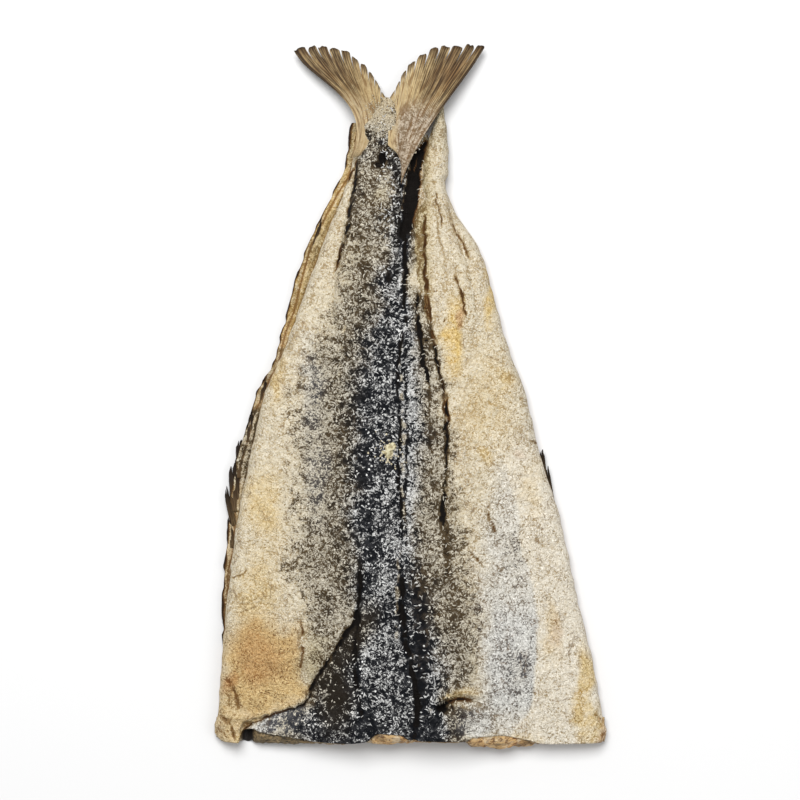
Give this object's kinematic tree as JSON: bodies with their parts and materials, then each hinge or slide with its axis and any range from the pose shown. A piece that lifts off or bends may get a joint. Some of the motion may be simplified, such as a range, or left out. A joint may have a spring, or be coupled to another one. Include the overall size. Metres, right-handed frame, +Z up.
{
  "type": "salt cod",
  "caption": "Whole split, salted and dried cod without its head, lying flat with its skin up, belly edges folded under and forked tail fin spread.",
  "frame": {"origin": "middle of the outline, on the surface that the fish lies on", "axes": "+Y from the neck cut towards the tail, +X to the right when seen from above with the tail up, +Z up out of the skin side"},
  "size_m": [0.394, 0.707, 0.0434],
  "materials": {
    "salt_cod": "dull dried skin with salt grains"
  },
  "bodies": {
    "root": {"salt_cod": "salt_cod"}
  },
  "joints": []
}
